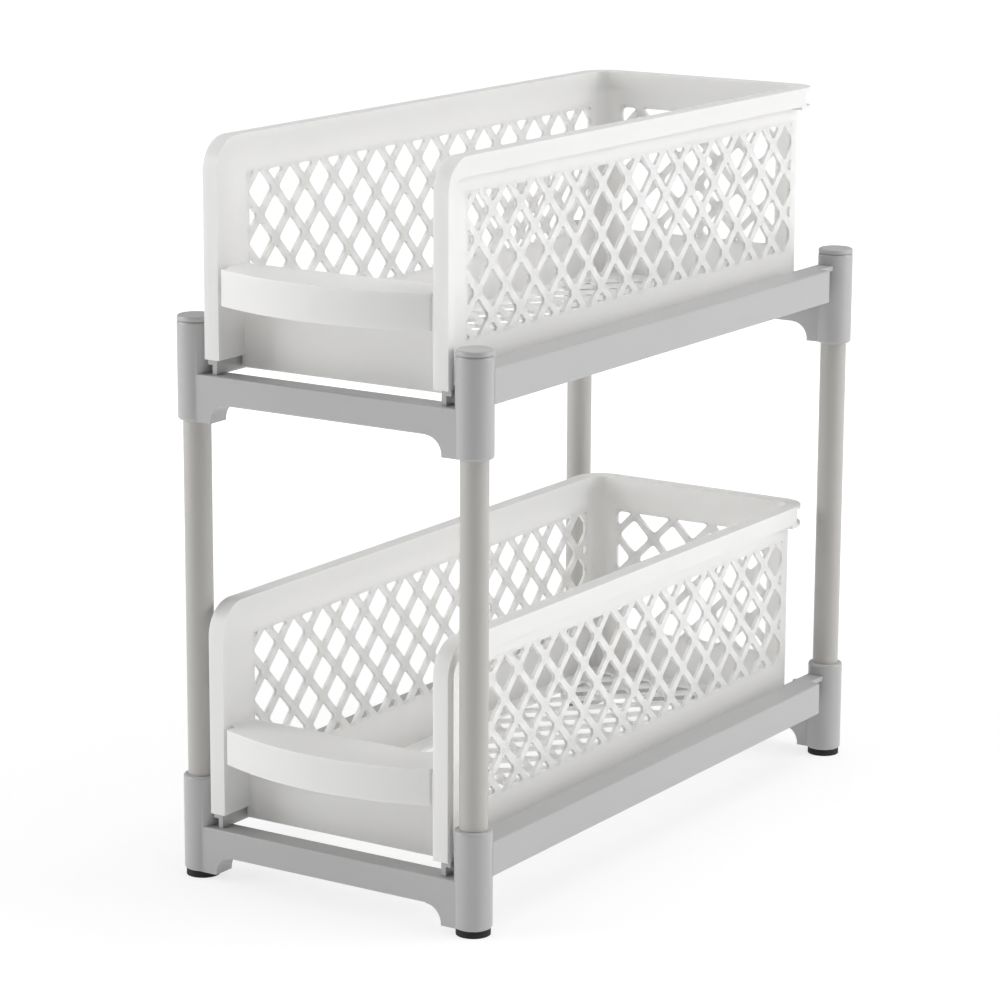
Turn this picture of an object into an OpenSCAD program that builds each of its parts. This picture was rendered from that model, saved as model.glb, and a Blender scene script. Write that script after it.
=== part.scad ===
// Two-tier organizer for the space under a sink: a frame of plastic rails and tubes that carries
// two moulded baskets, which slide out to the front on their runners.
// X runs to the right seen from the front, Y to the back and Z up. The floor is at z = 0.

/* [Posts] */
// Distance between the left and right post centres
post_span_x = 191; // [180:1:240]
// Distance between the front and rear post centres
post_span_y = 421; // [360:1:500]
// Height from one tier to the next
tier_pitch = 271; // [250:1:340]
// Outer diameter of the upright tubes
tube_d = 16.4; // [12:0.2:18]
// Wall of the upright tubes
tube_wall = 1.6; // [1:0.1:3]
// Outer diameter of the corner sleeves
sleeve_d = 22; // [20:0.5:24]
// Height of the corner sleeves
sleeve_h = 58; // [54:1:70]
// Thickness of the web between the two sockets of a sleeve
sleeve_web = 3; // [2:0.5:8]
// Radius of a sleeve's rounded rims
sleeve_edge = 1.6; // [0.5:0.1:1.8]
// Height of a rubber foot below its sleeve
foot_h = 4; // [3:0.5:8]
// How far a foot's rim lies inside its sleeve's
foot_inset = 1; // [0.2:0.1:2]
// Height of a cap above its sleeve
cap_h = 3; // [2:0.5:6]
// Rounding of a cap's upper edge
cap_edge = 1.4; // [0.4:0.1:1.8]
// Length of the plug on a cap or a foot
plug_h = 10; // [6:1:16]
// Clearance between pieces of the frame that fit into each other
fit = 0.1; // [0.05:0.05:0.2]

/* [Cross rails] */
// Height of a cross rail's underside above the sleeve's foot
cross_z = 11.4; // [11.2:0.2:14]
// Height of a cross rail
cross_h = 16.7; // [12:0.1:18]
// Depth of a cross rail from front to back
cross_t = 15; // [10:0.5:18]
// How far a cross rail's outer face stands out from the post centres
cross_out = 8.8; // [6:0.2:10]
// Reach of a gusset's foot from the post centre
gusset_foot = 16.2; // [13:0.2:24]
// Radius of the hollow curve under a gusset
gusset_r = 10.4; // [5:0.2:11]

/* [Side rails] */
// Height of a side rail's underside above the sleeve's foot
side_z = 30; // [29:0.5:33]
// Height of a side rail
side_h = 20.8; // [16:0.2:22]
// Width of a side rail
side_w = 17.3; // [14:0.1:18]
// How far a side rail's outer face stands out from the post centres
side_out = 10.2; // [9:0.2:10.8]
// Rounding of the rails' long edges
rail_edge = 1.2; // [0.4:0.1:2]
// Wall of the rails round their open undersides
rail_wall = 2.4; // [1.6:0.1:3.5]
// Spacing of the ribs under the rails
rib_pitch = 40; // [25:1:80]
// Distance from the rear post centres to the end of a side rail's body
tongue_l = 27; // [18:1:40]
// How far a tongue's edge lies inside the rail's outer face
tongue_in = 6.4; // [3:0.2:9]
// Thickness of a runner and of a tongue
runner_t = 3; // [2:0.2:4]
// How far a runner reaches over a cross rail, past the post centres
runner_over = 5; // [2:0.5:6]
// Height of the stop behind a basket
stop_h = 8; // [4:1:12]

/* [Baskets] */
// Clearance between a basket's rim and the corner sleeves
side_clear = 1.2; // [0.6:0.1:3]
// How far a basket's front stands in front of the front post centres
basket_front = 8; // [4:0.5:14]
// Distance from a basket's rear wall to the rear post centres
basket_rear = 10; // [8:0.5:60]
// Height of a basket above its runners
basket_h = 127.2; // [105:0.2:170]
// Wall of a basket
basket_wall = 2.2; // [1.6:0.1:3]
// How far a basket's floor hangs below its runners
step_h = 7.5; // [5:0.5:12]
// Clearance between a basket's floor and the cross rails
floor_gap = 1.5; // [0.6:0.1:3]
// Running clearance between a basket and its runners
slide_gap = 0.3; // [0.2:0.1:0.6]
// Clearance between a basket's walls and its runners
body_clear = 1.5; // [0.6:0.1:3]
// Radius of the upper front corner of a basket's side
corner_r = 20; // [18:1:40]
// Radius of a basket's upright rear corners
rear_r = 11; // [5:0.5:16]
// Width of a basket's front columns and of its rim
column_w = 10; // [7:0.5:14]
// How far the front panel is set back
panel_back = 25; // [15:1:26]
// Height of the lip that hangs from the rim's outer edge
rim_h = 11.5; // [6:0.5:16]
// Depth of the lip behind a front column's face
lip_w = 6; // [3:0.5:12]

/* [Handles] */
// Height of a grip's lower edge above the runners
grip_z = 32; // [20:1:50]
// Height of a grip
grip_h = 21; // [14:1:30]
// How far a grip bows out in the middle
grip_bow = 14; // [6:1:24]
// Slit between a grip's end and a column
grip_slit = 2.4; // [1:0.2:5]
// Depth of the slit
slit_d = 8; // [4:0.5:12]

/* [Lattice] */
// Spacing of the diamonds along a wall
diamond_pitch = 29.4; // [22:0.1:40]
// Spacing of the diamond rows
row_pitch = 14.9; // [11:0.1:20]
// Width of a lattice bar
bar_w = 4.6; // [2.6:0.1:7]
// Distance from a basket's front to the lattice of its sides
lattice_front = 31; // [26:1:45]
// Distance of the first whole diamond's centre from there
lattice_start = 10.7; // [0:0.1:29]
// Height of the first row's centres above the lattice's upper edge, at the sides
row_rise = 3.8; // [0:0.1:7]
// Depth of the first row's centres below the lattice's upper edge, at the back
rear_drop = 1; // [0:0.1:7]
// Height of the plain band below the lattice, above the runners
band_low = 24; // [16:1:40]
// Height of the plain band between the top and the lattice
band_high = 22.8; // [18:0.2:40]
// Width of the plain band between a side's lattice and its rounded rear corner
border_w = 5; // [2:0.5:12]
// Width of the plain band at both ends of the lattice at the back
rear_band = 18.5; // [17:0.5:30]
// Width of the plain band round the lattice of the floor
floor_band = 12; // [8:1:24]

/* [Hidden] */

frame_grey = "#b9bab9";
tube_grey = "#b6b3ac";
basket_white = "#eeedea";
rubber_black = "#1c1c1c";

// Facets of a small rounding, of a post and of the wide bow of a grip
edge_fn = 32;
round_fn = 64;
bow_fn = 360;
// Length by which a cutting body runs past a face
past = 1;

sleeve_r = sleeve_d / 2;
tube_r = tube_d / 2;
socket_r = tube_r + fit;
socket_depth = (sleeve_h - sleeve_web) / 2;
post_x = post_span_x / 2;
// The origin is the middle of the whole organizer, so the posts stand a little to the back
frame_y = (basket_front + grip_bow - sleeve_r) / 2;
front_y = frame_y - post_span_y / 2;
rear_y = frame_y + post_span_y / 2;

cross_top = cross_z + cross_h;
gusset_end = gusset_foot + gusset_r;
side_in = post_x + side_out - side_w;
side_top = side_z + side_h;
bar_end = rear_y - tongue_l;

floor_z = cross_top + floor_gap;
seat_z = floor_z + step_h;
rim_z = seat_z + basket_h;
basket_x = post_x - sleeve_r - side_clear;
wall_x = basket_x - column_w;
panel_x = wall_x + basket_wall;
basket_y0 = front_y - basket_front;
basket_y1 = rear_y - basket_rear;
side_end = basket_y1 - rear_r;
front_panel_y = basket_y0 + panel_back;
lattice_low = seat_z + band_low;
lattice_high = rim_z - band_high;

runner_x = panel_x + body_clear;
runner_top = seat_z - slide_gap;

handle_top = seat_z + grip_z + grip_h;
grip_half = wall_x - grip_slit;
bow_r = (grip_half * grip_half + grip_bow * grip_bow) / (2 * grip_bow);
bow_y = basket_y0 - grip_bow + bow_r;

// A diamond cell spans one pitch by two rows, and its hole is smaller by the bars round it
cell_x = diamond_pitch / 2;
cell_y = row_pitch;
hole_part = 1 - bar_w / 2 * sqrt(cell_x * cell_x + cell_y * cell_y) / (cell_x * cell_y);
hole_x = cell_x * hole_part;
hole_y = cell_y * hole_part;

// Raises a tier's pieces to their level, 0 for the lower tier and 1 for the upper one
module tier(level)
    translate([0, 0, foot_h + level * tier_pitch])
        children();

// Sweeps an outline drawn in Y and Z along X
module along_x(x0, x1)
    translate([x0, 0, 0])
        rotate([90, 0, 90])
            linear_extrude(height = x1 - x0)
                children();

// Sweeps an outline drawn in X and Z along Y
module along_y(y0, y1)
    translate([0, y1, 0])
        rotate([90, 0, 0])
            linear_extrude(height = y1 - y0)
                children();

// Rectangle with four rounded corners
module rounded_rect(w, h, r) {
    translate([r, 0])
        square([w - 2 * r, h]);
    translate([0, r])
        square([w, h - 2 * r]);
    for (x = [r, w - r])
        for (y = [r, h - r])
            translate([x, y])
                circle(r = r, $fn = edge_fn);
}

// Round body about Z with a rounded rim at its top, and at its bottom too where asked
module rimmed_disc(r, h, edge, both = false)
    rotate_extrude($fn = round_fn) {
        square([r - edge, h]);
        translate([0, both ? edge : 0])
            square([r, both ? h - 2 * edge : h - edge]);
        for (z = both ? [edge, h - edge] : [h - edge])
            translate([r - edge, z])
                circle(r = edge, $fn = edge_fn);
    }

// Open pockets between the ribs under a rail, from the origin along X
module pockets(length, width, height) {
    count = max(1, round(length / rib_pitch));
    size = (length - (count - 1) * rail_wall) / count;
    for (i = [0 : count - 1])
        translate([i * (size + rail_wall), 0, 0])
            cube([size, width, height]);
}

// Outline of a sleeve's side of the gusset, in X from the post centre and Z
module gusset_outline()
    difference() {
        square([gusset_end, cross_z + cross_h / 2]);
        translate([gusset_end, cross_z - gusset_r])
            circle(r = gusset_r, $fn = round_fn);
        translate([gusset_foot, -past])
            square([gusset_r + past, cross_z - gusset_r + past]);
    }

// End frame: two sleeves, the cross rail between them and its gussets, moulded in one.
// It is drawn as a front one, with the post line at y = 0.
module end_frame()
    difference() {
        union() {
            for (x = [-post_x, post_x])
                translate([x, 0, 0])
                    rimmed_disc(sleeve_r, sleeve_h, sleeve_edge, both = true);
            along_x(-post_x, post_x)
                translate([-cross_out, cross_z])
                    rounded_rect(cross_t, cross_h, rail_edge);
            for (side = [0, 1])
                mirror([side, 0, 0])
                    along_y(-cross_out, cross_t - cross_out)
                        translate([-post_x, 0])
                            gusset_outline();
        }
        for (x = [-post_x, post_x]) {
            translate([x, 0, -past])
                cylinder(h = socket_depth + past, r = socket_r, $fn = round_fn);
            translate([x, 0, sleeve_h - socket_depth])
                cylinder(h = socket_depth + past, r = socket_r, $fn = round_fn);
        }
        pocket_x = post_x - gusset_end - rail_wall;
        translate([-pocket_x, rail_wall - cross_out, cross_z - past])
            pockets(2 * pocket_x, cross_t - 2 * rail_wall, cross_h - rail_wall + past);
    }

// Runner in cross-section, from its inner lip out to x_end
module runner_section(x_end) {
    translate([runner_x, runner_top - runner_t])
        square([x_end - runner_x, runner_t]);
    translate([runner_x, cross_top + fit])
        square([runner_t, runner_top - cross_top - fit]);
}

// Right side rail with its runner, its stop and the tongue at its rear end
module side_rail()
    difference() {
        union() {
            along_y(front_y, bar_end)
                translate([side_in, side_z])
                    rounded_rect(side_w, side_h, rail_edge);
            along_y(bar_end - side_w, rear_y)
                translate([side_in, side_top - runner_t])
                    square([side_w - tongue_in, runner_t]);
            along_y(front_y, rear_y)
                runner_section(side_in + rail_wall);
            along_y(front_y - runner_over, rear_y + runner_over)
                runner_section(basket_x);
            translate([runner_x, basket_y1 + slide_gap, runner_top - runner_t])
                cube([basket_x - runner_x, runner_t, runner_t + stop_h]);
        }
        for (y = [front_y, rear_y])
            translate([post_x, y, -past])
                cylinder(h = sleeve_h + 2 * past, r = sleeve_r + fit, $fn = round_fn);
        pocket_y = front_y + sleeve_r + rail_wall;
        translate([side_in + side_w - rail_wall, pocket_y, side_z - past])
            rotate([0, 0, 90])
                pockets(bar_end - rail_wall - pocket_y, side_w - 2 * rail_wall, side_h - rail_wall + past);
    }

// Upright tube, from the web of a lower sleeve to the web of the sleeve above it
module tube() {
    bottom = foot_h + sleeve_h - socket_depth + fit;
    length = tier_pitch - sleeve_h + 2 * (socket_depth - fit);
    translate([0, 0, bottom])
        difference() {
            cylinder(h = length, r = tube_r, $fn = round_fn);
            translate([0, 0, -past])
                cylinder(h = length + 2 * past, r = tube_r - tube_wall, $fn = round_fn);
        }
}

// Cap on an upper sleeve, with its plug in the sleeve
module cap()
    translate([0, 0, foot_h + tier_pitch + sleeve_h]) {
        rimmed_disc(sleeve_r - fit, cap_h, cap_edge);
        translate([0, 0, -plug_h])
            cylinder(h = plug_h + past, r = tube_r, $fn = round_fn);
    }

// Rubber foot under a lower sleeve, with its plug in the sleeve
module foot() {
    cylinder(h = foot_h, r = sleeve_r - foot_inset, $fn = round_fn);
    cylinder(h = foot_h + plug_h, r = tube_r, $fn = round_fn);
}

// Diamond holes of a lattice, from the origin along X, between the heights low and high.
// The centres of the topmost row lie at the height top, and first is the place of a whole diamond.
module lattice(length, low, high, top, first)
    intersection() {
        translate([0, low])
            square([length, high - low]);
        diamonds(length, low, top, first);
    }

// Rows of diamonds from the height top down, where every second row is shifted by half a pitch
module diamonds(length, low, top, first) {
    rows = ceil((top - low + hole_y) / row_pitch);
    start = first % diamond_pitch - diamond_pitch;
    columns = ceil((length - start) / diamond_pitch);
    for (row = [0 : rows - 1])
        for (column = [0 : columns])
            translate([start + diamond_pitch * (column + (1 - row % 2) / 2), top - row * row_pitch])
                polygon([[hole_x, 0], [0, hole_y], [-hole_x, 0], [0, -hole_y]]);
}

// Outline in Y and Z with a rounded upper front corner
module side_shape(front, end, bottom, top, r) {
    translate([front, bottom])
        square([end - front, top - bottom - r]);
    translate([front + r, bottom])
        square([end - front - r, top - bottom]);
    translate([front + r, top - r])
        circle(r = r, $fn = round_fn);
}

// Right wall of a basket: a lattice panel from the floor to the rim
module side_wall()
    along_x(wall_x, panel_x)
        difference() {
            union() {
                side_shape(basket_y0, side_end, seat_z, rim_z, corner_r);
                translate([front_panel_y, floor_z])
                    square([side_end - front_panel_y, step_h + basket_wall]);
            }
            translate([basket_y0 + lattice_front, 0])
                lattice(
                    side_end - border_w - basket_y0 - lattice_front,
                    lattice_low, lattice_high, lattice_high + row_rise, lattice_start
                );
        }

// Flange outside the right wall, down the front, along the top and over the runner,
// and the lip that is turned in along its outer edge
module side_rim() {
    along_x(wall_x, basket_x)
        difference() {
            side_shape(basket_y0, side_end, seat_z, rim_z, corner_r);
            side_shape(
                basket_y0 + basket_wall, side_end + past,
                seat_z + basket_wall, rim_z - basket_wall, corner_r - basket_wall
            );
        }
    along_x(basket_x - basket_wall, basket_x)
        difference() {
            side_shape(basket_y0, side_end, seat_z, rim_z, corner_r);
            side_shape(
                basket_y0 + lip_w, side_end + past,
                seat_z - past, rim_z - rim_h, corner_r - rim_h
            );
        }
}

// Plan of a basket's rear end with its two rounded corners, drawn at a distance
// outside the outer face of the wall
module rear_plan(out = 0) {
    half = panel_x - rear_r;
    intersection() {
        union() {
            translate([-half, side_end])
                square([2 * half, rear_r + out]);
            for (x = [-half, half])
                translate([x, side_end])
                    circle(r = rear_r + out, $fn = round_fn);
        }
        translate([-post_x, side_end])
            square([post_span_x, rear_r + out + past]);
    }
}

// Rear wall with its two rounded corners, from the floor to the rim
module rear_wall() {
    field = 2 * (panel_x - rear_band);
    difference() {
        translate([0, 0, floor_z])
            linear_extrude(height = rim_z - floor_z)
                difference() {
                    rear_plan();
                    rear_plan(-basket_wall);
                }
        along_y(basket_y1 - basket_wall - past, basket_y1 + past)
            translate([-field / 2, 0])
                lattice(
                    field, lattice_low, lattice_high,
                    lattice_high - rear_drop, (field + diamond_pitch) / 2
                );
    }
}

// Two flanges round the back, at the rim and under the lip of the sides, where they start
module rear_flanges()
    for (z = [rim_z - basket_wall, rim_z - rim_h - basket_wall])
        translate([0, 0, z])
            linear_extrude(height = basket_wall) {
                difference() {
                    rear_plan(column_w - basket_wall);
                    rear_plan(-basket_wall);
                }
                for (x = [-basket_x, wall_x])
                    translate([x, side_end - lip_w])
                        square([column_w, lip_w]);
            }

// Floor with its lattice
module floor_panel()
    translate([0, 0, floor_z])
        linear_extrude(height = basket_wall)
            difference() {
                union() {
                    translate([-panel_x, front_panel_y])
                        square([2 * panel_x, side_end - front_panel_y]);
                    rear_plan();
                }
                translate([0, front_panel_y + floor_band])
                    rotate(90)
                        lattice(
                            side_end - front_panel_y - floor_band,
                            floor_band - wall_x, wall_x - floor_band,
                            row_pitch * ceil((wall_x - floor_band) / row_pitch), lattice_start
                        );
            }

// Rear end of the flange that lies on the right runner, outside the rounded corner
module runner_foot()
    translate([0, 0, seat_z])
        linear_extrude(height = basket_wall)
            difference() {
                translate([panel_x - rear_r, side_end])
                    square([basket_x - panel_x + rear_r, rear_r]);
                rear_plan(-basket_wall);
            }

// Front panel behind the handle, from the floor to the grip's top
module front_panel()
    along_y(front_panel_y, front_panel_y + basket_wall)
        translate([-panel_x, floor_z])
            square([2 * panel_x, handle_top - floor_z]);

// Plan of the bowed part of a handle, in X and Y
module bow_plan()
    intersection() {
        translate([0, bow_y])
            circle(r = bow_r, $fn = bow_fn);
        translate([-grip_half, basket_y0 - grip_bow])
            square([2 * grip_half, grip_bow + slit_d]);
    }

// Handle: a flat shelf in front of the panel and the bowed grip that hangs from its edge
module handle() {
    translate([0, 0, handle_top - basket_wall])
        linear_extrude(height = basket_wall) {
            bow_plan();
            translate([-panel_x, basket_y0 + slit_d])
                square([2 * panel_x, panel_back - slit_d + basket_wall]);
        }
    translate([0, 0, seat_z + grip_z])
        linear_extrude(height = grip_h)
            difference() {
                bow_plan();
                translate([0, bow_y])
                    circle(r = bow_r - basket_wall, $fn = bow_fn);
            }
}

// Basket, moulded in one
module basket() {
    for (side = [0, 1])
        mirror([side, 0, 0]) {
            side_wall();
            side_rim();
            runner_foot();
        }
    rear_wall();
    rear_flanges();
    floor_panel();
    front_panel();
    handle();
}

// Places a piece that is drawn about the origin on the front or the rear post line
module at_front()
    translate([0, front_y, 0])
        children();

module at_rear()
    translate([0, rear_y, 0])
        mirror([0, 1, 0])
            children();

// Places a round piece on a post, where side is -1 for left and 1 for right
module at_post(side, y)
    translate([side * post_x, y, 0])
        children();

module lower_front_frame() color(frame_grey) tier(0) at_front() end_frame();
module lower_rear_frame() color(frame_grey) tier(0) at_rear() end_frame();
module upper_front_frame() color(frame_grey) tier(1) at_front() end_frame();
module upper_rear_frame() color(frame_grey) tier(1) at_rear() end_frame();

module lower_left_rail() color(frame_grey) tier(0) mirror([1, 0, 0]) side_rail();
module lower_right_rail() color(frame_grey) tier(0) side_rail();
module upper_left_rail() color(frame_grey) tier(1) mirror([1, 0, 0]) side_rail();
module upper_right_rail() color(frame_grey) tier(1) side_rail();

module tube_front_left() color(tube_grey) at_post(-1, front_y) tube();
module tube_front_right() color(tube_grey) at_post(1, front_y) tube();
module tube_rear_left() color(tube_grey) at_post(-1, rear_y) tube();
module tube_rear_right() color(tube_grey) at_post(1, rear_y) tube();

module cap_front_left() color(frame_grey) at_post(-1, front_y) cap();
module cap_front_right() color(frame_grey) at_post(1, front_y) cap();
module cap_rear_left() color(frame_grey) at_post(-1, rear_y) cap();
module cap_rear_right() color(frame_grey) at_post(1, rear_y) cap();

module foot_front_left() color(rubber_black) at_post(-1, front_y) foot();
module foot_front_right() color(rubber_black) at_post(1, front_y) foot();
module foot_rear_left() color(rubber_black) at_post(-1, rear_y) foot();
module foot_rear_right() color(rubber_black) at_post(1, rear_y) foot();

module lower_basket() color(basket_white) tier(0) basket();
module upper_basket() color(basket_white) tier(1) basket();

lower_front_frame();
lower_rear_frame();
upper_front_frame();
upper_rear_frame();
lower_left_rail();
lower_right_rail();
upper_left_rail();
upper_right_rail();
tube_front_left();
tube_front_right();
tube_rear_left();
tube_rear_right();
cap_front_left();
cap_front_right();
cap_rear_left();
cap_rear_right();
foot_front_left();
foot_front_right();
foot_rear_left();
foot_rear_right();
lower_basket();
upper_basket();
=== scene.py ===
import math

import bmesh
import bpy
from mathutils import Matrix, Quaternion, Vector


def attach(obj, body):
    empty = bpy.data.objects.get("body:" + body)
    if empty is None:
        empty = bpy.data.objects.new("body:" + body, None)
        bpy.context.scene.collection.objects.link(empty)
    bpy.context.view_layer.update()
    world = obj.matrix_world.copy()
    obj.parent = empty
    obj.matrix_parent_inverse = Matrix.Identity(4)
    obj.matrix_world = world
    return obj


# A two-tier organizer for under a sink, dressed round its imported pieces. Lengths are in metres.
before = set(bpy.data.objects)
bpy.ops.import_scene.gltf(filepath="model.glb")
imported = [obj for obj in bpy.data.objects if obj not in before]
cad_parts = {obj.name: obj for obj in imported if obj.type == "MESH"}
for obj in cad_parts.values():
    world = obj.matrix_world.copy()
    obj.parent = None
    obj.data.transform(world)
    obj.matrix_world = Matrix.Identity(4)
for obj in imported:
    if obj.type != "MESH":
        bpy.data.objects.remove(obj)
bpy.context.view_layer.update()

MM = 0.001

# Wall of a basket, as packed, and the easing of its edges
BASKET_WALL = 2.2 * MM
BASKET_EASE = 0.5 * MM
# An edge is as long as the wall is thick to within this share of it
WALL_MATCH = 0.02
# A way is square to another if their dot product is under this
SQUARE_MATCH = 0.01
# How far the web in a lattice hole's corner reaches along the hole's sides, how far it is let
# into the bars, and how little it stands proud of them
WEB_REACH = 3.2 * MM
WEB_ROOT = 1.2 * MM
WEB_PROUD = 0.01 * MM
# The most of a hole's side that one web takes, and the flat steps in a web's round
WEB_SHARE = 0.42
WEB_STEPS = 4

# Easing of the other edges: how close corners must be to be one, and how sharp an edge is eased
TUBE_EASE = 0.3 * MM
FOOT_EASE = 0.6 * MM
FRAME_EASE = 0.5 * MM
SAME_POINT = 0.002 * MM
EASED_ANGLE = math.radians(40)
# Faces that meet at less than this are one flat face
FLAT_ANGLE = math.radians(0.5)

# Colours of the real materials, as sRGB hex values
FRAME_GREY = "#bcbcbc"
FRAME_GREY_SHADE = "#b6b6b6"
TUBE_GREY = "#c1bfbb"
TUBE_GREY_SHADE = "#bab8b3"
BASKET_WHITE = "#f3f3f2"
BASKET_WHITE_SHADE = "#eeedeb"
RUBBER_BLACK = "#0d0d0d"
RUBBER_DUST = "#1b1b1a"

# What the surfaces show: over what lengths the tones drift, how long the waves in moulded walls
# are, how far the gloss goes up and down between the grains, how deep light goes into the white
# walls and how far each colour of it, the lines of the tubes' die and the pores of the rubber
TONE_DRIFT = 90 * MM
TUBE_DRIFT = 70 * MM
WALL_WAVE = 28 * MM
GLOSS_SPREAD = 0.05
LIGHT_DEPTH = 4 * MM
LIGHT_REACH = (1.0, 0.97, 0.92)
DIE_LINE = 0.7 * MM
DIE_LINE_LENGTH = 400 * MM
RUBBER_PORE = 0.8 * MM

# Floor of the studio: its half width, its colour to the camera and to all other light, its glow
# to the camera near the organizer, its glow to all other light, and how far from the organizer
# the glow to the camera starts to rise and is plain white
FLOOR_HALF = 8.0
FLOOR_GREY = "#a0a0a0"
FLOOR_WHITE = "#ebebeb"
FLOOR_GLOW = 0.72
FLOOR_LIFT = 0.3
GLOW_NEAR = 0.35
GLOW_FAR = 0.9

# Soft light of the studio: its strength on the closed sides, and on the open front, which lies
# this way. A ray counts by how near to that way it goes, from none at all to wholly.
STUDIO_STRENGTH = 0.45
FRONT_STRENGTH = 0.0
FRONT_WAY = (0.54, -0.84, 0.0)
FRONT_NONE = 0.2
FRONT_WHOLE = 0.95

# Soft lamps: name, azimuth and elevation in degrees, distance in metres and power in watts. They
# are aimed at one point. Azimuth 0 is in front of the organizer and turns towards its right.
LAMPS = [
    ("lamp_left", -52, 18, 2.4, 25.5),
    ("lamp_right", 118, 18, 2.4, 25),
    ("lamp_top", 100, 76, 2.2, 15),
]
LAMP_SIZE = 1.6
LAMP_AIM = Vector((0, 0, 0.2))

# Camera: how it is turned, where it stands and its lens, from the edges seen in the photograph
CAMERA_YAW = math.radians(32.75)
CAMERA_PITCH = math.radians(-13.05)
CAMERA_ROLL = math.radians(0.27)
CAMERA_PLACE = (1167.4 * MM, -1845.6 * MM, 705.7 * MM)
LENS_MM = 131.7
SENSOR_MM = 36.0


def linear(hex_colour):
    """Turns an sRGB hex value into the linear colour that a shader takes."""
    parts = [int(hex_colour[i:i + 2], 16) / 255 for i in (1, 3, 5)]
    return [p / 12.92 if p <= 0.04045 else ((p + 0.055) / 1.055) ** 2.4 for p in parts] + [1.0]


def add_node(tree, kind, inputs=None, **settings):
    """Adds a shader node with its settings. An input is either a value or the socket that feeds it."""
    made = tree.nodes.new(kind)
    for name, value in settings.items():
        setattr(made, name, value)
    for name, value in (inputs or {}).items():
        if isinstance(value, bpy.types.NodeSocket):
            tree.links.new(value, made.inputs[name])
        else:
            made.inputs[name].default_value = value
    return made


def empty_material(name):
    """Returns a material with an empty node tree, and that tree."""
    material = bpy.data.materials.new(name)
    material.use_nodes = True
    material.node_tree.nodes.clear()
    return material, material.node_tree


def moulded_plastic(name, colour, shade, roughness, ior, grain, grain_depth, wave_depth, subsurface=0.0):
    """Injection-moulded plastic. The mould's fine texture breaks up the gloss, the walls are
    very slightly wavy where the plastic shrank as it cooled, and the tone drifts a little."""
    material, tree = empty_material(name)
    place = add_node(tree, "ShaderNodeTexCoord").outputs["Object"]
    # The tone drifts over a hand's width
    drift = add_node(tree, "ShaderNodeTexNoise", {"Vector": place, "Scale": 1 / TONE_DRIFT, "Detail": 2.0})
    tone = add_node(
        tree, "ShaderNodeMix",
        {"Factor": drift.outputs["Fac"], "A": linear(colour), "B": linear(shade)},
        data_type="RGBA",
    )
    # The texture of the mould
    texture = add_node(tree, "ShaderNodeTexNoise", {"Vector": place, "Scale": 1 / grain, "Detail": 3.0})
    wave = add_node(tree, "ShaderNodeTexNoise", {"Vector": place, "Scale": 1 / WALL_WAVE, "Detail": 1.0})
    wavy = add_node(
        tree, "ShaderNodeBump",
        {"Height": wave.outputs["Fac"], "Distance": wave_depth, "Strength": 0.6},
    )
    grainy = add_node(
        tree, "ShaderNodeBump",
        {"Height": texture.outputs["Fac"], "Distance": grain_depth, "Strength": 0.5,
         "Normal": wavy.outputs["Normal"]},
    )
    # The gloss varies a little between the grains
    gloss = add_node(
        tree, "ShaderNodeMapRange",
        {"Value": texture.outputs["Fac"], "To Min": roughness - GLOSS_SPREAD,
         "To Max": roughness + GLOSS_SPREAD},
    )
    skin = add_node(
        tree, "ShaderNodeBsdfPrincipled",
        {"Base Color": tone.outputs["Result"], "Roughness": gloss.outputs["Result"], "IOR": ior,
         "Subsurface Weight": subsurface, "Subsurface Radius": LIGHT_REACH,
         "Subsurface Scale": LIGHT_DEPTH, "Normal": grainy.outputs["Normal"]},
    )
    add_node(tree, "ShaderNodeOutputMaterial", {"Surface": skin.outputs["BSDF"]})
    return material


def moulded_abs():
    """Grey ABS of the frame: a fine satin from the mould."""
    return moulded_plastic(
        "moulded_abs_grey", FRAME_GREY, FRAME_GREY_SHADE,
        roughness=0.3, ior=1.54, grain=0.9 * MM, grain_depth=0.03 * MM, wave_depth=0.25 * MM,
    )


def moulded_polypropylene(name, subsurface):
    """White polypropylene of the baskets, with a soft gloss. Subsurface is the light let in."""
    return moulded_plastic(
        name, BASKET_WHITE, BASKET_WHITE_SHADE,
        roughness=0.36, ior=1.49, grain=1.2 * MM, grain_depth=0.02 * MM, wave_depth=0.4 * MM,
        subsurface=subsurface,
    )


def extruded_plastic():
    """Grey plastic of the tubes, pressed through a die, which leaves faint lines along them."""
    material, tree = empty_material("extruded_plastic_grey")
    place = add_node(tree, "ShaderNodeTexCoord").outputs["Object"]
    # The die's lines lie close across the tube and run on along it
    stretched = add_node(
        tree, "ShaderNodeMapping",
        {"Vector": place, "Scale": (1 / DIE_LINE, 1 / DIE_LINE, 1 / DIE_LINE_LENGTH)},
    )
    lines = add_node(
        tree, "ShaderNodeTexNoise",
        {"Vector": stretched.outputs["Vector"], "Scale": 1.0, "Detail": 2.0},
    )
    drift = add_node(tree, "ShaderNodeTexNoise", {"Vector": place, "Scale": 1 / TUBE_DRIFT, "Detail": 2.0})
    tone = add_node(
        tree, "ShaderNodeMix",
        {"Factor": drift.outputs["Fac"], "A": linear(TUBE_GREY), "B": linear(TUBE_GREY_SHADE)},
        data_type="RGBA",
    )
    drawn = add_node(
        tree, "ShaderNodeBump",
        {"Height": lines.outputs["Fac"], "Distance": 0.02 * MM, "Strength": 0.4},
    )
    skin = add_node(
        tree, "ShaderNodeBsdfPrincipled",
        {"Base Color": tone.outputs["Result"], "Roughness": 0.38, "IOR": 1.53,
         "Normal": drawn.outputs["Normal"]},
    )
    add_node(tree, "ShaderNodeOutputMaterial", {"Surface": skin.outputs["BSDF"]})
    return material


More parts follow.
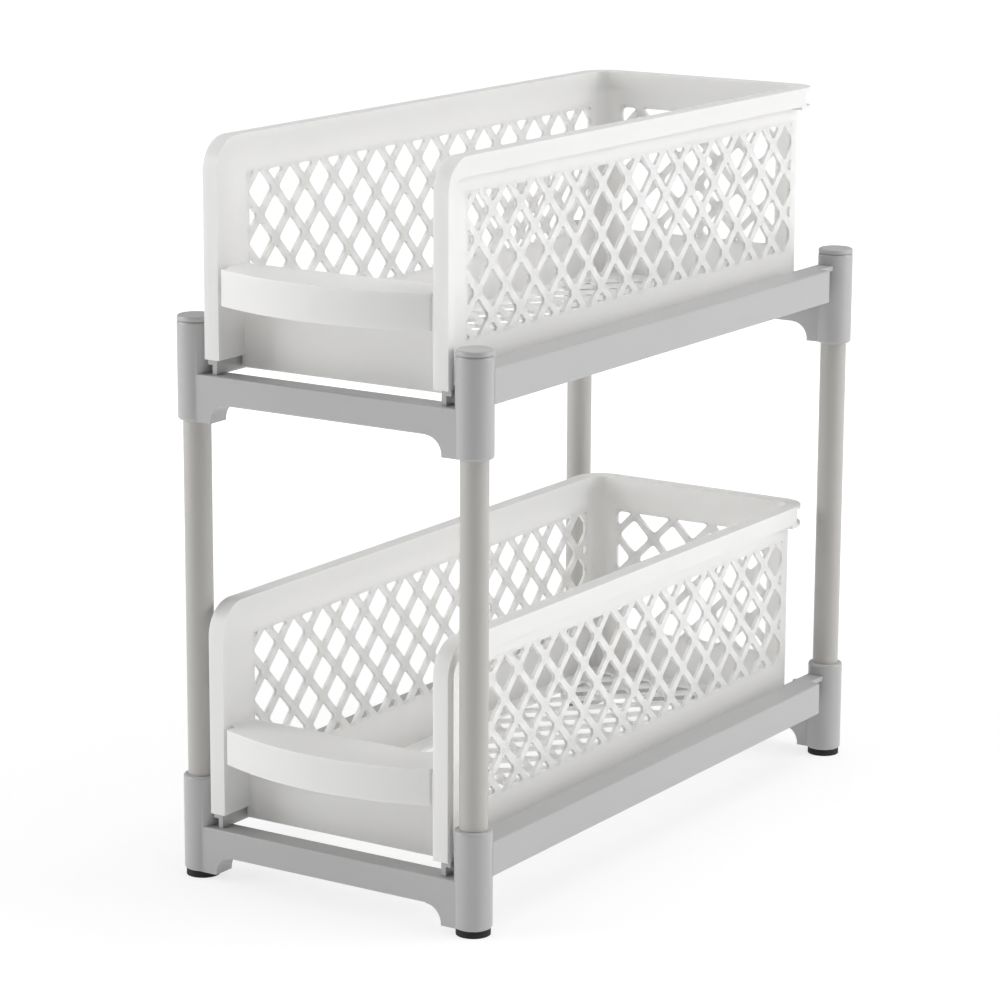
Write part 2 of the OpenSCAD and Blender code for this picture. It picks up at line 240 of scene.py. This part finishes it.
def moulded_rubber():
    """Black rubber of the feet: dull, with a little grey dust in its pores."""
    material, tree = empty_material("moulded_rubber_black")
    place = add_node(tree, "ShaderNodeTexCoord").outputs["Object"]
    pores = add_node(tree, "ShaderNodeTexNoise", {"Vector": place, "Scale": 1 / RUBBER_PORE, "Detail": 4.0})
    dust = add_node(
        tree, "ShaderNodeMix",
        {"Factor": pores.outputs["Fac"], "A": linear(RUBBER_BLACK), "B": linear(RUBBER_DUST)},
        data_type="RGBA",
    )
    rough = add_node(
        tree, "ShaderNodeBump",
        {"Height": pores.outputs["Fac"], "Distance": 0.05 * MM, "Strength": 0.6},
    )
    skin = add_node(
        tree, "ShaderNodeBsdfPrincipled",
        {"Base Color": dust.outputs["Result"], "Roughness": 0.72, "IOR": 1.52,
         "Normal": rough.outputs["Normal"]},
    )
    add_node(tree, "ShaderNodeOutputMaterial", {"Surface": skin.outputs["BSDF"]})
    return material


def ease_edges(piece, width):
    """Rounds a moulded piece's edges, as the mould does."""
    weld = piece.modifiers.new("joined_corners", "WELD")
    weld.merge_threshold = SAME_POINT
    bevel = piece.modifiers.new("eased_edges", "BEVEL")
    bevel.width = width
    bevel.segments = 2
    bevel.limit_method = "ANGLE"
    bevel.angle_limit = EASED_ANGLE
    bevel.use_clamp_overlap = True
    # Flat faces stay flat and the rounding takes up the turn between them
    shading = piece.modifiers.new("flat_faces", "WEIGHTED_NORMAL")
    shading.weight = 100


def lattice_corners(basket):
    """Finds the inner corners of a basket's lattice holes: the two ends of each upright edge, and
    for both of the hole's sides there the way along it, its length and its outward normal."""
    shape = bmesh.new()
    shape.from_mesh(basket.data)
    bmesh.ops.remove_doubles(shape, verts=shape.verts, dist=SAME_POINT)
    bmesh.ops.dissolve_limit(shape, angle_limit=FLAT_ANGLE, verts=shape.verts, edges=shape.edges)
    corners = []
    for edge in shape.edges:
        if len(edge.link_faces) != 2 or edge.is_convex or edge.calc_face_angle() < EASED_ANGLE:
            continue
        if abs(edge.calc_length() - BASKET_WALL) > WALL_MATCH * BASKET_WALL:
            continue
        start, end = (vertex.co.copy() for vertex in edge.verts)
        sides = []
        for face in edge.link_faces:
            way = face.calc_center_median() - (start + end) / 2
            upright = abs(way.normalized().dot((end - start).normalized())) < SQUARE_MATCH
            if len(face.verts) == 4 and upright:
                sides.append((way.normalized(), 2 * way.length, face.normal.copy()))
        if len(sides) == 2:
            corners.append((start, end, sides))
    shape.free()
    return corners


def add_web(mesh, corner):
    """Adds the web that rounds one inner corner of a hole, with its edges eased."""
    start, end, ((way_a, length_a, out_a), (way_b, length_b, out_b)) = corner
    axis = (end - start).normalized()
    reach = min(WEB_REACH, WEB_SHARE * length_a, WEB_SHARE * length_b)
    half = way_a.angle(way_b) / 2
    radius = reach * math.tan(half)
    middle = (way_a + way_b).normalized()
    turn = (-out_a).rotation_difference(-out_b)
    spokes = [Quaternion().slerp(turn, i / WEB_STEPS) @ -out_a for i in range(WEB_STEPS + 1)]
    roots = [
        way_b * reach - out_b * WEB_ROOT,
        middle * (-WEB_ROOT / math.sin(half)),
        way_a * reach - out_a * WEB_ROOT,
    ]
    rings = []
    levels = [
        (-WEB_PROUD, BASKET_EASE), (BASKET_EASE, 0.0),
        (BASKET_WALL - BASKET_EASE, 0.0), (BASKET_WALL + WEB_PROUD, BASKET_EASE),
    ]
    for height, ease in levels:
        foot = start + axis * height
        centre = foot + middle * (reach / math.cos(half))
        points = [centre + spoke * (radius + ease) for spoke in spokes] + [foot + root for root in roots]
        rings.append([mesh.verts.new(point) for point in points])
    for low, high in zip(rings, rings[1:]):
        for i in range(len(low)):
            mesh.faces.new((low[i - 1], low[i], high[i], high[i - 1]))
    mesh.faces.new(rings[0])
    mesh.faces.new(rings[-1])


def round_lattice(name, material):
    """Rounds the inner corners of a basket's lattice holes, as they come out of the mould."""
    mesh = bmesh.new()
    for corner in lattice_corners(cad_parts[name]):
        add_web(mesh, corner)
    bmesh.ops.recalc_face_normals(mesh, faces=mesh.faces)
    for face in mesh.faces:
        face.smooth = True
    data = bpy.data.meshes.new(name + "_lattice_webs")
    mesh.to_mesh(data)
    mesh.free()
    data.materials.append(material)
    webs = bpy.data.objects.new(data.name, data)
    bpy.context.scene.collection.objects.link(webs)
    shading = webs.modifiers.new("flat_faces", "WEIGHTED_NORMAL")
    shading.weight = 100
    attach(webs, name)


def dress_pieces():
    """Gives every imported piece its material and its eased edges."""
    abs_grey = moulded_abs()
    # The thin walls let a little light in. The webs lie inside them, where none would come out again
    white = moulded_polypropylene("moulded_polypropylene_white", subsurface=0.6)
    web_white = moulded_polypropylene("moulded_polypropylene_webs", subsurface=0.0)
    drawn_grey = extruded_plastic()
    rubber = moulded_rubber()
    for name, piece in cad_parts.items():
        if name.startswith("tube"):
            material, edge = drawn_grey, TUBE_EASE
        elif name.startswith("foot"):
            material, edge = rubber, FOOT_EASE
        elif name.endswith("basket"):
            material, edge = white, BASKET_EASE
            round_lattice(name, web_white)
        else:
            material, edge = abs_grey, FRAME_EASE
        piece.data.materials.clear()
        piece.data.materials.append(material)
        ease_edges(piece, edge)


def add_floor():
    """White floor that the organizer stands on. To the camera it has a glow of its own, which
    rises to plain white away from the organizer, so that the shadow near it stays."""
    mesh = bpy.data.meshes.new("floor")
    half = FLOOR_HALF
    corners = [(-half, -half, 0), (half, -half, 0), (half, half, 0), (-half, half, 0)]
    mesh.from_pydata(corners, [], [(0, 1, 2, 3)])
    floor = bpy.data.objects.new("floor", mesh)
    bpy.context.scene.collection.objects.link(floor)
    material, tree = empty_material("matte_white_floor")
    path = add_node(tree, "ShaderNodeLightPath")
    place = add_node(tree, "ShaderNodeTexCoord").outputs["Object"]
    away = add_node(tree, "ShaderNodeVectorMath", {0: place}, operation="LENGTH")
    glow = add_node(
        tree, "ShaderNodeMapRange",
        {"Value": away.outputs["Value"], "From Min": GLOW_NEAR, "From Max": GLOW_FAR,
         "To Min": FLOOR_GLOW, "To Max": 1.0},
        interpolation_type="SMOOTHSTEP",
    )
    # The floor of the studio has a lamp of its own, which lifts the organizer's undersides
    seen = add_node(
        tree, "ShaderNodeMix",
        {"Factor": path.outputs["Is Camera Ray"], "A": FLOOR_LIFT, "B": glow.outputs["Result"]},
    )
    # The floor throws back as much light as white paper does, but shows its shadows faintly
    tone = add_node(
        tree, "ShaderNodeMix",
        {"Factor": path.outputs["Is Camera Ray"], "A": linear(FLOOR_WHITE), "B": linear(FLOOR_GREY)},
        data_type="RGBA",
    )
    matte = add_node(tree, "ShaderNodeBsdfDiffuse", {"Color": tone.outputs["Result"]})
    plain = add_node(tree, "ShaderNodeEmission", {"Color": (1, 1, 1, 1), "Strength": seen.outputs["Result"]})
    both = add_node(tree, "ShaderNodeAddShader", {0: matte.outputs["BSDF"], 1: plain.outputs["Emission"]})
    add_node(tree, "ShaderNodeOutputMaterial", {"Surface": both.outputs["Shader"]})
    mesh.materials.append(material)


def light_world():
    """Soft light all round, dimmer from the open front of the studio. The camera sees plain white."""
    world = bpy.data.worlds.new("studio")
    bpy.context.scene.world = world
    world.use_nodes = True
    tree = world.node_tree
    tree.nodes.clear()
    path = add_node(tree, "ShaderNodeLightPath")
    seen = add_node(
        tree, "ShaderNodeMath",
        {0: path.outputs["Is Camera Ray"], 1: path.outputs["Is Transmission Ray"]},
        operation="MAXIMUM",
    )
    # The way that a ray goes, compared with the way to the open front
    way = add_node(tree, "ShaderNodeTexCoord").outputs["Generated"]
    ahead = add_node(tree, "ShaderNodeVectorMath", {0: way, 1: FRONT_WAY}, operation="DOT_PRODUCT")
    fill = add_node(
        tree, "ShaderNodeMapRange",
        {"Value": ahead.outputs["Value"], "From Min": FRONT_NONE, "From Max": FRONT_WHOLE,
         "To Min": STUDIO_STRENGTH, "To Max": FRONT_STRENGTH},
        interpolation_type="SMOOTHSTEP",
    )
    soft = add_node(
        tree, "ShaderNodeBackground", {"Color": (1, 1, 1, 1), "Strength": fill.outputs["Result"]}
    )
    white = add_node(tree, "ShaderNodeBackground", {"Color": (1, 1, 1, 1), "Strength": 1.0})
    both = add_node(
        tree, "ShaderNodeMixShader",
        {0: seen.outputs["Value"], 1: soft.outputs["Background"], 2: white.outputs["Background"]},
    )
    add_node(tree, "ShaderNodeOutputWorld", {"Surface": both.outputs["Shader"]})


def add_lamp(name, azimuth, elevation, distance, power):
    """Adds a square soft lamp, aimed at the organizer."""
    lamp = bpy.data.lights.new(name, "AREA")
    lamp.shape = "SQUARE"
    lamp.size = LAMP_SIZE
    lamp.energy = power
    holder = bpy.data.objects.new(name, lamp)
    bpy.context.scene.collection.objects.link(holder)
    turn, rise = math.radians(azimuth), math.radians(elevation)
    way = Vector((math.sin(turn) * math.cos(rise), -math.cos(turn) * math.cos(rise), math.sin(rise)))
    holder.location = LAMP_AIM + way * distance
    holder.rotation_euler = (-way).to_track_quat("-Z", "Y").to_euler()


def add_camera():
    """Camera at the photograph's viewing angle: from the right of the front and slightly above."""
    back = Vector((math.sin(CAMERA_YAW), -math.cos(CAMERA_YAW), 0))
    ahead = -back * math.cos(CAMERA_PITCH) + Vector((0, 0, math.sin(CAMERA_PITCH)))
    level = Vector((math.cos(CAMERA_YAW), math.sin(CAMERA_YAW), 0))
    up = level.cross(ahead)
    right = level * math.cos(CAMERA_ROLL) + up * math.sin(CAMERA_ROLL)
    top = up * math.cos(CAMERA_ROLL) - level * math.sin(CAMERA_ROLL)
    data = bpy.data.cameras.new("camera")
    data.sensor_width = SENSOR_MM
    data.lens = LENS_MM
    camera = bpy.data.objects.new("camera", data)
    turned = Matrix((right, top, -ahead)).transposed().to_4x4()
    camera.matrix_world = Matrix.Translation(CAMERA_PLACE) @ turned
    bpy.context.scene.collection.objects.link(camera)
    bpy.context.scene.camera = camera


add_camera()
add_floor()
light_world()
for lamp_setting in LAMPS:
    add_lamp(*lamp_setting)
dress_pieces()
bpy.context.scene.view_settings.view_transform = "Standard"
